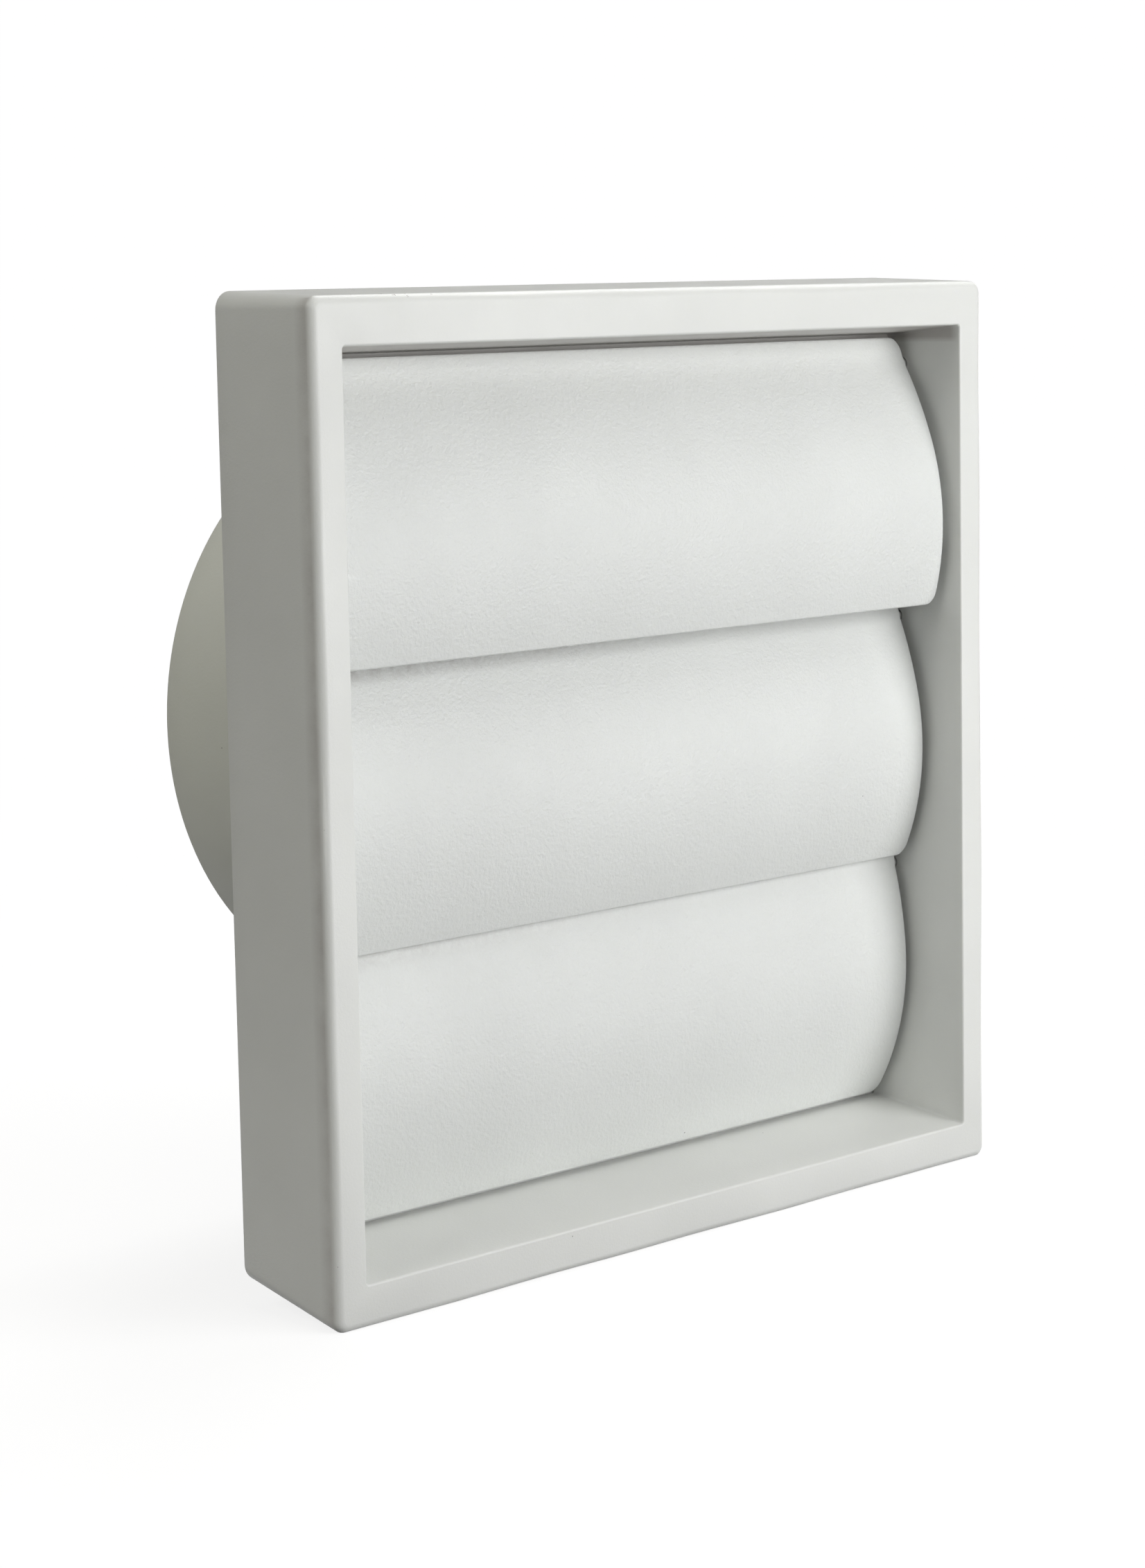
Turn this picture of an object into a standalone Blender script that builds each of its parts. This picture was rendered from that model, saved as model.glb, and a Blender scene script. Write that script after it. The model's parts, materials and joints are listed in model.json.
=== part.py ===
"""Square gravity-flap wall outlet: a surround, three hanging flaps, a wall plate and a round duct spigot.

X runs across the face, +Y goes into the wall and +Z is up. The wall's surface is the plane Y = 0, and the
origin is in the middle of the surround's back. Sizes are in metres.
"""

import math

import bmesh
import bpy
from mathutils import Vector

MM = 0.001
GAP = 0.3 * MM

# Surround: a square picture frame, open behind, with tapering walls inside it. Its top rises a little
# towards the wall, and its underside slopes up behind the front edge, where drops of rain fall off.
SIDE = 155.0 * MM
DEPTH = 22.0 * MM
SIDE_DRAFT = 0.5 * MM
TOP_RISE = 0.9 * MM
UNDERSIDE_SLOPE = 4.7 * MM
CORNER_RADIUS = 2.8 * MM
FRONT_FILLET = 1.8 * MM
SKIRT_WALL = 1.8 * MM
FACE_SKIN = 2.0 * MM
BORDER_SIDE = 6.1 * MM
BORDER_TOP = 7.4 * MM
BORDER_BOTTOM = 6.9 * MM
OPENING_EDGE = 0.35 * MM
OPENING_CORNER = 0.5 * MM
THROAT_WALL = 1.6 * MM
TAPER_SIDE = 0.8 * MM
TAPER_TOP = 2.0 * MM
TAPER_BOTTOM = 3.0 * MM
CORNER_STEPS = 6
FILLET_STEPS = 5

# Wall plate, closing the back of the surround.
PLATE_THICKNESS = 1.6 * MM
PLATE_CORNER = 0.8 * MM
SCREW_PITCH = 120.0 * MM
SCREW_HOLE_RADIUS = 2.2 * MM
SCREW_HEAD_RADIUS = 3.9 * MM
COUNTERSINK_DEPTH = 1.2 * MM
SCREW_PAD_RADIUS = 6.5 * MM
SCREW_PAD_HEIGHT = 0.4 * MM
COLLAR_LENGTH = 6.0 * MM
COLLAR_WALL = 1.6 * MM

# Duct spigot, a plain round tube a little above the middle of the plate.
SPIGOT_RADIUS = 49.8 * MM
SPIGOT_WALL = 2.0 * MM
SPIGOT_LENGTH = 47.8 * MM
SPIGOT_HEIGHT = 7.5 * MM
SPIGOT_EDGE = 0.5 * MM
ROUND_STEPS = 96

# Snap fixing: hooks on the plate hold ribs inside the surround's skirt.
HOOK_HEIGHTS = (-35.0 * MM, 35.0 * MM)
HOOK_WIDTH = 12.0 * MM
HOOK_THICKNESS = 1.0 * MM
HOOK_FROM_SKIRT = 1.3 * MM
BARB_HEIGHT = 0.7 * MM
BARB_LENGTH = 1.5 * MM
RIB_WIDTH = 16.0 * MM
RIB_HEIGHT = 0.7 * MM
RIB_LENGTH = 1.5 * MM
RIB_FROM_FRONT = 12.0 * MM

# Head rail, the bar that seals behind the top flap.
RAIL_FROM_FRONT = 15.6 * MM
RAIL_DEPTH = 2.4 * MM
RAIL_UNDERSIDE = 67.6 * MM
RAIL_BITE = 1.0 * MM

# Flaps: one bowed shell, hung three times. The outline starts at the lip and goes up to the head.
FLAP_NAMES = ("top", "middle", "bottom")
FLAP_REST = (math.radians(10.7), math.radians(2.9), math.radians(-4.4))
FLAP_LENGTH = 139.2 * MM
FLAP_THICKNESS = 1.0 * MM
FLAP_DROP = 42.5 * MM
LIP_HEADING = math.radians(-29.2)
FLAP_STRETCHES = (
    (30.0 * MM, math.radians(38.0), 16),
    (13.0 * MM, math.radians(10.0), 6),
    (3.4 * MM, math.radians(-16.0), 4),
    (2.1 * MM, 0.0, 1),
)
FLAP_EDGE = 0.3 * MM
LIP_CORNER = 2.0 * MM
WEB_THICKNESS = 1.2 * MM
WEB_BOW = 2.2 * MM
WEB_START = 6
WEB_END = 24

# Hinges, one line under the next and each a little further back.
HINGE_TOP_HEIGHT = 63.4 * MM
HINGE_TOP_FROM_FRONT = 12.6 * MM
HINGE_PITCH = 44.2 * MM
HINGE_STEP_BACK = 1.5 * MM
PIN_RADIUS = 0.9 * MM
PIN_LENGTH = 5.7 * MM
PIN_IN_FLAP = 3.0 * MM
BOSS_RADIUS = 1.75 * MM
BOSS_LENGTH = 4.0 * MM
PIN_STEPS = 24

FRONT = -DEPTH
PLATE_FRONT = -PLATE_THICKNESS
THROAT_END = PLATE_FRONT - GAP
THROAT_DEPTH = THROAT_END - FRONT
SKIRT_INSIDE = SIDE / 2 - SKIRT_WALL - SIDE_DRAFT
OVERSHOOT = 2.0 * MM

WHITE = (0.80, 0.81, 0.79, 1.0)
SHELL_WHITE = (0.83, 0.84, 0.82, 1.0)
SPIGOT_WHITE = (0.78, 0.79, 0.76, 1.0)
PIN_GREY = (0.60, 0.61, 0.59, 1.0)


def clear_scene():
    for old in list(bpy.data.objects):
        bpy.data.objects.remove(old, do_unlink=True)


def material(name, colour, roughness, metallic=0.0):
    made = bpy.data.materials.new(name)
    made.use_nodes = True
    shader = made.node_tree.nodes["Principled BSDF"]
    shader.inputs["Base Color"].default_value = colour
    shader.inputs["Roughness"].default_value = roughness
    shader.inputs["Metallic"].default_value = metallic
    made.diffuse_color = colour
    return made


def add_object(name, mesh_builder, *finish):
    """One object from a bmesh, shaded smooth except across its sharp edges."""
    mesh = bpy.data.meshes.new(name)
    bmesh.ops.recalc_face_normals(mesh_builder, faces=mesh_builder.faces)
    mesh_builder.to_mesh(mesh)
    mesh_builder.free()
    mesh.polygons.foreach_set("use_smooth", [True] * len(mesh.polygons))
    mesh.set_sharp_from_angle(angle=math.radians(35.0))
    made = bpy.data.objects.new(name, mesh)
    bpy.context.scene.collection.objects.link(made)
    if finish:
        mesh.materials.append(material(name, *finish))
    return made


def boolean(target, tool, operation):
    """Joins or cuts with a helper, which stays in the scene as a hidden wire."""
    tool.hide_render = True
    tool.display_type = "WIRE"
    modifier = target.modifiers.new(tool.name, "BOOLEAN")
    modifier.operation = operation
    modifier.solver = "EXACT"
    modifier.object = tool


def loft(builder, rings, closed):
    """Quads between rings of equal length. A loft that isn't closed gets a cap on each end."""
    rows = [[builder.verts.new(point) for point in ring] for ring in rings]
    pairs = list(zip(rows, rows[1:]))
    if closed:
        pairs.append((rows[-1], rows[0]))
    else:
        builder.faces.new(rows[0])
        builder.faces.new(rows[-1])
    for near, far in pairs:
        for i, corner in enumerate(near):
            after = (i + 1) % len(near)
            builder.faces.new((corner, near[after], far[after], far[i]))


def rounded_rectangle(y, left, right, bottom, top, radius, steps):
    """A ring in the plane at y, with its corners rounded."""
    centres = (
        (right - radius, top - radius, 0.0),
        (left + radius, top - radius, 90.0),
        (left + radius, bottom + radius, 180.0),
        (right - radius, bottom + radius, 270.0),
    )
    ring = []
    for x, z, start in centres:
        for step in range(steps + 1):
            angle = math.radians(start + 90.0 * step / steps)
            ring.append(Vector((x + radius * math.cos(angle), y, z + radius * math.sin(angle))))
    return ring


def outside_ring(y, inset, radius):
    """A ring of the surround's outside, drawn in by inset."""
    share = (y - FRONT) / DEPTH
    half_width = SIDE / 2 - SIDE_DRAFT * share - inset
    top = SIDE / 2 + TOP_RISE * share - inset
    bottom = -SIDE / 2 + UNDERSIDE_SLOPE * share + inset
    return rounded_rectangle(y, -half_width, half_width, bottom, top, radius, CORNER_STEPS)


def throat_ring(y, outset):
    """A ring of the tapering opening at y, drawn out by outset."""
    share = (y - FRONT) / THROAT_DEPTH
    half_width = SIDE / 2 - BORDER_SIDE - TAPER_SIDE * share + outset
    top = SIDE / 2 - BORDER_TOP - TAPER_TOP * share + outset
    bottom = -SIDE / 2 + BORDER_BOTTOM + TAPER_BOTTOM * share - outset
    return rounded_rectangle(y, -half_width, half_width, bottom, top, OPENING_CORNER + outset, CORNER_STEPS)


def circle(y, radius, x=0.0, z=SPIGOT_HEIGHT, steps=ROUND_STEPS):
    turns = [2.0 * math.pi * step / steps for step in range(steps)]
    return [Vector((x + radius * math.cos(t), y, z + radius * math.sin(t))) for t in turns]


def cylinder_along_x(builder, start, end, radius, y=0.0, z=0.0):
    turns = [2.0 * math.pi * step / PIN_STEPS for step in range(PIN_STEPS)]
    rings = [
        [Vector((x, y + radius * math.cos(t), z + radius * math.sin(t))) for t in turns]
        for x in (start, end)
    ]
    loft(builder, rings, closed=False)


def box(builder, low, high):
    corners = [(low[0], low[2]), (high[0], low[2]), (high[0], high[2]), (low[0], high[2])]
    rings = [[Vector((x, y, z)) for x, z in corners] for y in (low[1], high[1])]
    loft(builder, rings, closed=False)


def side_blocks(builder, near, far, width, front, back):
    """Four blocks inside the surround's skirt, two on each side, near to far from the middle."""
    for hand in (-1, 1):
        xs = sorted((hand * near, hand * far))
        for height in HOOK_HEIGHTS:
            low = (xs[0], front, height - width / 2)
            box(builder, low, (xs[1], back, height + width / 2))


def hinge_place(index):
    y = FRONT + HINGE_TOP_FROM_FRONT + HINGE_STEP_BACK * index
    z = HINGE_TOP_HEIGHT - HINGE_PITCH * index
    return y, z


def make_surround():
    rings = [outside_ring(0.0, 0.0, CORNER_RADIUS)]
    for step in range(FILLET_STEPS + 1):
        angle = math.pi / 2 * step / FILLET_STEPS
        inset = FRONT_FILLET * (1.0 - math.cos(angle))
        y = FRONT + FRONT_FILLET * (1.0 - math.sin(angle))
        rings.append(outside_ring(y, inset, CORNER_RADIUS - inset * 0.8))
    for angle in (0.0, math.pi / 4, math.pi / 2):
        outset = OPENING_EDGE * (1.0 - math.sin(angle))
        rings.append(throat_ring(FRONT + OPENING_EDGE * (1.0 - math.cos(angle)), outset))
    rings.append(throat_ring(THROAT_END, 0.0))
    rings.append(throat_ring(THROAT_END, THROAT_WALL))
    rings.append(throat_ring(FRONT + FACE_SKIN, THROAT_WALL))
    rings.append(outside_ring(FRONT + FACE_SKIN, SKIRT_WALL, CORNER_RADIUS - SKIRT_WALL))
    rings.append(outside_ring(0.0, SKIRT_WALL, CORNER_RADIUS - SKIRT_WALL))
    builder = bmesh.new()
    loft(builder, rings, closed=True)
    surround = add_object("surround", builder, WHITE, 0.42)
    boolean(surround, make_rail_and_ribs(), "UNION")
    boolean(surround, make_hinge_hole_cutter(), "DIFFERENCE")


def make_rail_and_ribs():
    builder = bmesh.new()
    rail_front = FRONT + RAIL_FROM_FRONT
    share = RAIL_FROM_FRONT / THROAT_DEPTH
    top = SIDE / 2 - BORDER_TOP - TAPER_TOP * share + RAIL_BITE / 2
    reach = SIDE / 2 - BORDER_SIDE - TAPER_SIDE * share + RAIL_BITE
    box(builder, (-reach, rail_front, RAIL_UNDERSIDE), (reach, rail_front + RAIL_DEPTH, top))
    rib_front = FRONT + RIB_FROM_FRONT
    near = SKIRT_INSIDE - RIB_HEIGHT
    side_blocks(builder, near, near + SKIRT_WALL, RIB_WIDTH, rib_front, rib_front + RIB_LENGTH)
    return add_object("surround_additions", builder)


def make_hinge_hole_cutter():
    """The six holes that the hinge pins turn in, through the walls of the opening."""
    builder = bmesh.new()
    for index in range(len(FLAP_NAMES)):
        y, z = hinge_place(index)
        for hand in (-1, 1):
            ends = sorted((hand * FLAP_LENGTH / 2, hand * (SKIRT_INSIDE - GAP)))
            cylinder_along_x(builder, ends[0], ends[1], PIN_RADIUS + GAP, y, z)
    return add_object("hinge_hole_cutter", builder)


def make_plate():
    builder = bmesh.new()
    rings = [outside_ring(y, SKIRT_WALL + GAP, PLATE_CORNER) for y in (PLATE_FRONT, 0.0)]
    loft(builder, rings, closed=False)
    plate = add_object("wall_plate", builder, WHITE, 0.45)
    boolean(plate, make_collar(), "UNION")
    boolean(plate, make_hooks(), "UNION")
    boolean(plate, make_screw_pads(), "UNION")
    boolean(plate, make_plate_cutter(), "DIFFERENCE")


def make_collar():
    """The short ring behind the plate that the duct spigot is pushed over."""
    builder = bmesh.new()
    outside = SPIGOT_RADIUS - SPIGOT_WALL - GAP
    loft(builder, [circle(PLATE_FRONT / 2, outside), circle(COLLAR_LENGTH, outside)], closed=False)
    return add_object("collar", builder)


def make_hooks():
    builder = bmesh.new()
    arm_outside = SKIRT_INSIDE - HOOK_FROM_SKIRT
    arm_inside = arm_outside - HOOK_THICKNESS
    barb_back = FRONT + RIB_FROM_FRONT - GAP
    barb_front = barb_back - BARB_LENGTH
    side_blocks(builder, arm_inside, arm_outside, HOOK_WIDTH, barb_front, PLATE_FRONT / 2)
    arms = add_object("hook_arms", builder)
    builder = bmesh.new()
    near = arm_inside + HOOK_THICKNESS / 2
    side_blocks(builder, near, arm_outside + BARB_HEIGHT, HOOK_WIDTH, barb_front, barb_back)
    boolean(arms, add_object("hook_barbs", builder), "UNION")
    return arms


def screw_places():
    reach = SCREW_PITCH / 2
    return [(x, z) for x in (-reach, reach) for z in (-reach, reach)]


def make_screw_pads():
    """Four low round pads on the plate's front, where the screw heads sit."""
    builder = bmesh.new()
    ends = (PLATE_FRONT - SCREW_PAD_HEIGHT, PLATE_FRONT / 2)
    for x, z in screw_places():
        loft(builder, [circle(y, SCREW_PAD_RADIUS, x, z, PIN_STEPS) for y in ends], closed=False)
    return add_object("screw_pads", builder)


def make_plate_cutter():
    """The duct's way through the plate and collar, and four countersunk screw holes."""
    builder = bmesh.new()
    bore = SPIGOT_RADIUS - SPIGOT_WALL - GAP - COLLAR_WALL
    ends = (PLATE_FRONT - OVERSHOOT, COLLAR_LENGTH + OVERSHOOT)
    loft(builder, [circle(y, bore) for y in ends], closed=False)
    slope = (SCREW_HEAD_RADIUS - SCREW_HOLE_RADIUS) / COUNTERSINK_DEPTH
    seat = PLATE_FRONT - SCREW_PAD_HEIGHT
    profile = (
        (seat - OVERSHOOT, SCREW_HEAD_RADIUS + slope * OVERSHOOT),
        (seat + COUNTERSINK_DEPTH, SCREW_HOLE_RADIUS),
        (OVERSHOOT, SCREW_HOLE_RADIUS),
    )
    for x, z in screw_places():
        loft(builder, [circle(y, radius, x, z, PIN_STEPS) for y, radius in profile], closed=False)
    return add_object("plate_cutter", builder)


def make_spigot():
    outside = SPIGOT_RADIUS
    inside = SPIGOT_RADIUS - SPIGOT_WALL
    end = GAP + SPIGOT_LENGTH
    profile = [(GAP, outside)]
    for step in range(4):
        angle = math.pi / 2 * step / 3
        y = end - SPIGOT_EDGE * (1.0 - math.sin(angle))
        profile.append((y, outside - SPIGOT_EDGE * (1.0 - math.cos(angle))))
    profile += [(end, inside), (GAP, inside)]
    builder = bmesh.new()
    loft(builder, [circle(y, radius) for y, radius in profile], closed=True)
    add_object("duct_spigot", builder, SPIGOT_WHITE, 0.5)


def flap_outline():
    """Points up the outer face from the lip to the head, each with its heading, as (y, z, heading).

    The hinge is at y = z = 0, and the lip hangs straight under it. A heading of zero is straight up, and a
    positive one leans towards the wall.
    """
    y, z, heading = 0.0, -FLAP_DROP, LIP_HEADING
    points = [(y, z, heading)]
    for length, turn, steps in FLAP_STRETCHES:
        for _ in range(steps):
            middle = heading + turn / steps / 2
            y += length / steps * math.sin(middle)
            z += length / steps * math.cos(middle)
            heading += turn / steps
            points.append((y, z, heading))
    return points


def slab_ring(point, near, far, outer, inner, edge):
    """A ring round the flap at a point of its outline, from near to far and from outer to inner depth."""
    y, z, heading = point
    back = Vector((0.0, math.cos(heading), -math.sin(heading)))
    corners = (
        (near + edge, outer),
        (near, outer + edge),
        (near, inner - edge),
        (near + edge, inner),
        (far - edge, inner),
        (far, inner - edge),
        (far, outer + edge),
        (far - edge, outer),
    )
    return [Vector((x, y, z)) + back * depth for x, depth in corners]


def lip_setback(height):
    """How far the flap's end is drawn in near the lip, which rounds the lip's corners."""
    if height >= LIP_CORNER:
        return 0.0
    return LIP_CORNER - math.sqrt(LIP_CORNER**2 - (LIP_CORNER - height) ** 2)


def make_flap_shell(name, outline):
    """The bowed shell, with extra rings near the lip where its corners turn."""
    builder = bmesh.new()
    rings = []
    start = Vector(outline[0][:2])
    for share in (0.1, 0.3, 0.6):
        height = LIP_CORNER * share
        heading = outline[0][2]
        point = (start.x + height * math.sin(heading), start.y + height * math.cos(heading), heading)
        half = FLAP_LENGTH / 2 - lip_setback(height)
        rings.append(slab_ring(point, -half, half, 0.0, FLAP_THICKNESS, FLAP_EDGE))
    for point in outline[2:]:
        half = FLAP_LENGTH / 2
        rings.append(slab_ring(point, -half, half, 0.0, FLAP_THICKNESS, FLAP_EDGE))
    loft(builder, rings, closed=False)
    return add_object(name, builder, SHELL_WHITE, 0.5)


def make_flap_ends(name, outline):
    """A stiffening web and a hinge boss at each end of the shell."""
    builder = bmesh.new()
    for hand in (-1, 1):
        ends = sorted((hand * FLAP_LENGTH / 2, hand * (FLAP_LENGTH / 2 - WEB_THICKNESS)))
        rings = []
        for index in range(WEB_START, WEB_END + 1):
            share = (index - WEB_START) / (WEB_END - WEB_START)
            depth = FLAP_THICKNESS * 1.2 + WEB_BOW * math.sin(math.pi * share)
            ring = slab_ring(outline[index], ends[0], ends[1], FLAP_THICKNESS / 2, depth, FLAP_EDGE / 2)
            rings.append(ring)
        loft(builder, rings, closed=False)
    webs = add_object(name + "_webs", builder)
    builder = bmesh.new()
    for hand in (-1, 1):
        ends = sorted((hand * FLAP_LENGTH / 2, hand * (FLAP_LENGTH / 2 - BOSS_LENGTH)))
        cylinder_along_x(builder, ends[0], ends[1], BOSS_RADIUS)
    boolean(webs, add_object(name + "_bosses", builder), "UNION")
    return webs


def make_pin_bores(name):
    builder = bmesh.new()
    for hand in (-1, 1):
        inner = hand * (FLAP_LENGTH / 2 - PIN_IN_FLAP - GAP)
        ends = sorted((inner, hand * (FLAP_LENGTH / 2 + OVERSHOOT)))
        cylinder_along_x(builder, ends[0], ends[1], PIN_RADIUS + GAP)
    return add_object(name + "_bores", builder)


def make_flap(index):
    """A flap and its two pins, hung from an empty on the hinge line and turned to its rest angle."""
    name = "flap_" + FLAP_NAMES[index]
    hinge = bpy.data.objects.new("hinge_" + FLAP_NAMES[index], None)
    hinge.empty_display_size = 10.0 * MM
    bpy.context.scene.collection.objects.link(hinge)
    hinge.location = (0.0, *hinge_place(index))
    hinge.rotation_euler = (-FLAP_REST[index], 0.0, 0.0)
    outline = flap_outline()
    flap = make_flap_shell(name, outline)
    ends = make_flap_ends(name, outline)
    bores = make_pin_bores(name)
    boolean(flap, ends, "UNION")
    boolean(flap, bores, "DIFFERENCE")
    pieces = [flap, ends, bores, *(m.object for m in ends.modifiers)]
    for hand, side in ((-1, "left"), (1, "right")):
        builder = bmesh.new()
        start = hand * (FLAP_LENGTH / 2 - PIN_IN_FLAP)
        span = sorted((start, start + hand * PIN_LENGTH))
        cylinder_along_x(builder, span[0], span[1], PIN_RADIUS)
        pieces.append(add_object(f"pin_{FLAP_NAMES[index]}_{side}", builder, PIN_GREY, 0.5))
    for piece in pieces:
        piece.parent = hinge


def main():
    clear_scene()
    make_surround()
    make_plate()
    make_spigot()
    for index in range(len(FLAP_NAMES)):
        make_flap(index)


main()
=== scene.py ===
import json
import math

import bmesh
import bpy
from mathutils import Euler, Matrix, Vector, noise


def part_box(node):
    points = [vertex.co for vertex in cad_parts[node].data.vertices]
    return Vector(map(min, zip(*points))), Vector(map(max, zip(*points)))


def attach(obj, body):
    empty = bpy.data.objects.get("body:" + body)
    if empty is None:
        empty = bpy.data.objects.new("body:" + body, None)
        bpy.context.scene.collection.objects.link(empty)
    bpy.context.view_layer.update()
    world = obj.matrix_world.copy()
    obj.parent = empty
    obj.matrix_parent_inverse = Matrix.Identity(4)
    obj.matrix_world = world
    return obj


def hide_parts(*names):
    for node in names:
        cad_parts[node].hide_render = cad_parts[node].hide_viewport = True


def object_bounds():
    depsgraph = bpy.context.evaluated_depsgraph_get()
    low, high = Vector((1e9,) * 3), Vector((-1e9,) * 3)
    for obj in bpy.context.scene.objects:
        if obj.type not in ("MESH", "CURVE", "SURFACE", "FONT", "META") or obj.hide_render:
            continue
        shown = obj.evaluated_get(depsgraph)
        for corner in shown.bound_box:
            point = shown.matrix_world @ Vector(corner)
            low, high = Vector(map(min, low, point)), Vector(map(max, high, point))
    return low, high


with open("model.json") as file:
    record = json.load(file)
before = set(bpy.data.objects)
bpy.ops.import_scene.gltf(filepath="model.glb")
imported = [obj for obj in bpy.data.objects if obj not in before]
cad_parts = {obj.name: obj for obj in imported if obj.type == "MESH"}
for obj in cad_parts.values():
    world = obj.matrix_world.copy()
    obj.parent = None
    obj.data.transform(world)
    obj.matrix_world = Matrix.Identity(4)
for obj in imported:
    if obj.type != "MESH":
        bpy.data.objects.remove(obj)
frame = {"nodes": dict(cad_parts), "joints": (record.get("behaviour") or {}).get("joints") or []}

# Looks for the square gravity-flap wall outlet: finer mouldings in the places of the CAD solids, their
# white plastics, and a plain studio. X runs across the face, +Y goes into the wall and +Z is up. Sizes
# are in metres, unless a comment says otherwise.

CAD_LOW, CAD_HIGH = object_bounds()
MM = 0.001
GAP = 0.3 * MM

# ---- camera --------------------------------------------------------------------------------------
CAMERA_PLACE = (-0.4432, -0.4361, 0.0796)
CAMERA_TURN = (82.36, 1.06, -45.39)  # degrees
CAMERA_LENS = 86.9  # millimetres
SENSOR = 36.0  # millimetres
NEAREST_SEEN, FURTHEST_SEEN = 0.01, 50.0

# ---- places read from the frame ------------------------------------------------------------------
SURROUND_LOW, SURROUND_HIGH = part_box("surround")
SPIGOT_LOW, SPIGOT_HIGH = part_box("duct_spigot")
HINGES = {joint["child"]: Vector(joint["pos_m"]) for joint in frame["joints"]}
FRONT = SURROUND_LOW.y
DEPTH = SURROUND_HIGH.y - SURROUND_LOW.y

# ---- surround ------------------------------------------------------------------------------------
SIDE = 155.0 * MM
SIDE_DRAFT = 0.5 * MM
TOP_RISE = 0.9 * MM
UNDERSIDE_SLOPE = 4.7 * MM
CORNER_RADIUS = 2.8 * MM
CORNER_TIGHTENING = 0.9 * MM
CORNER_SHRINK = 0.6
FRONT_FILLET = 1.5 * MM
SKIRT_WALL = 1.8 * MM
FACE_SKIN = 2.0 * MM
BORDER_SIDE = 6.1 * MM
BORDER_TOP = 7.4 * MM
BORDER_BOTTOM = 6.9 * MM
OPENING_EDGE = 0.35 * MM
OPENING_CORNER = 0.5 * MM
THROAT_WALL = 1.6 * MM
TAPER_SIDE = 0.8 * MM
TAPER_TOP = 2.0 * MM
TAPER_BOTTOM = 3.0 * MM
BREAK_EDGE = 0.2 * MM
ROOT_FILLET = 0.5 * MM
CORNER_STEPS = 10
EDGE_STEPS = 26
WALL_STEPS = 8
WARP = 0.06 * MM
WARP_SCALE = 22.0
WARP_SEED = 7  # any number but 0, which would take the seed from the clock
FILLET_WARP = 0.22 * MM
FILLET_WARP_SCALE = 45.0
RAIL_FROM_FRONT = 15.6 * MM
RAIL_DEPTH = 2.4 * MM
RAIL_UNDERSIDE = 67.6 * MM
RAIL_EDGE = 0.25 * MM
RAIL_BITE = 1.0 * MM

# ---- wall plate ----------------------------------------------------------------------------------
PLATE_THICKNESS = 1.6 * MM
PLATE_FRONT = -PLATE_THICKNESS
THROAT_END = PLATE_FRONT - GAP
THROAT_DEPTH = THROAT_END - FRONT
SKIRT_INSIDE = SIDE / 2 - SKIRT_WALL - SIDE_DRAFT
SCREW_PITCH = 120.0 * MM
SCREW_HOLE_RADIUS = 2.2 * MM
SCREW_HEAD_RADIUS = 3.9 * MM
SCREW_PAD_RADIUS = 6.5 * MM
SCREW_PAD_HEIGHT = 0.4 * MM
COUNTERSINK_DEPTH = 1.2 * MM
COLLAR_LENGTH = 6.0 * MM
COLLAR_WALL = 1.6 * MM
HOOK_HEIGHTS = (-35.0 * MM, 35.0 * MM)
HOOK_WIDTH = 12.0 * MM
HOOK_THICKNESS = 1.0 * MM
HOOK_FROM_SKIRT = 1.3 * MM
BARB_HEIGHT = 0.7 * MM
BARB_LENGTH = 1.5 * MM
RIB_WIDTH = 16.0 * MM
RIB_HEIGHT = 0.7 * MM
RIB_LENGTH = 1.5 * MM
RIB_FROM_FRONT = 12.0 * MM

# ---- duct spigot ---------------------------------------------------------------------------------
SPIGOT_HEIGHT = (SPIGOT_LOW.z + SPIGOT_HIGH.z) / 2
SPIGOT_RADIUS = (SPIGOT_HIGH.x - SPIGOT_LOW.x) / 2
SPIGOT_WALL = 2.0 * MM
SPIGOT_EDGE = 0.5 * MM
SPIGOT_SPANS = 12
SPIGOT_EDGE_STEPS = 4
ROUND_STEPS = 192
SMALL_STEPS = 40

# ---- flaps ---------------------------------------------------------------------------------------
FLAP_REST = {"flap_top": 10.7, "flap_middle": 2.9, "flap_bottom": -4.4}  # degrees from upright
FLAP_LENGTH = 139.2 * MM
FLAP_THICKNESS = 1.0 * MM
FLAP_DROP = 42.5 * MM
LIP_HEADING = math.radians(-29.2)
# length, turn and number of steps of each stretch of a flap's outline, from the lip to the head
FLAP_STRETCHES = (
    (30.0 * MM, math.radians(38.0), 32),
    (13.0 * MM, math.radians(10.0), 12),
    (3.4 * MM, math.radians(-16.0), 6),
    (2.1 * MM, 0.0, 4),
)
FLAP_EDGE = 0.3 * MM
FLAP_SPANS = 40
BOW_STEPS = 56
LIP_ROUND = 0.25
EDGE_TURN = 30.0  # degrees between the points of a rounded edge
LIP_CORNER = 2.4 * MM
HEAD_CORNER = 3.0 * MM
CORNER_SHARES = (0.015, 0.06, 0.13, 0.22, 0.34, 0.48, 0.64, 0.82)
FLAP_WARP = 0.05 * MM
LIP_TRIM = {"flap_top": 0.0, "flap_middle": 0.0, "flap_bottom": 0.4 * MM}
WEB_THICKNESS = 1.2 * MM
WEB_BOW = 2.2 * MM
WEB_DEPTH = 1.2  # of the shell's thickness
WEB_ENDS = (0.2, 0.8)  # of the outline
PIN_RADIUS = 0.9 * MM
PIN_IN_FLAP = 3.0 * MM
BOSS_RADIUS = 1.75 * MM
BOSS_LENGTH = 4.0 * MM

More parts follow.
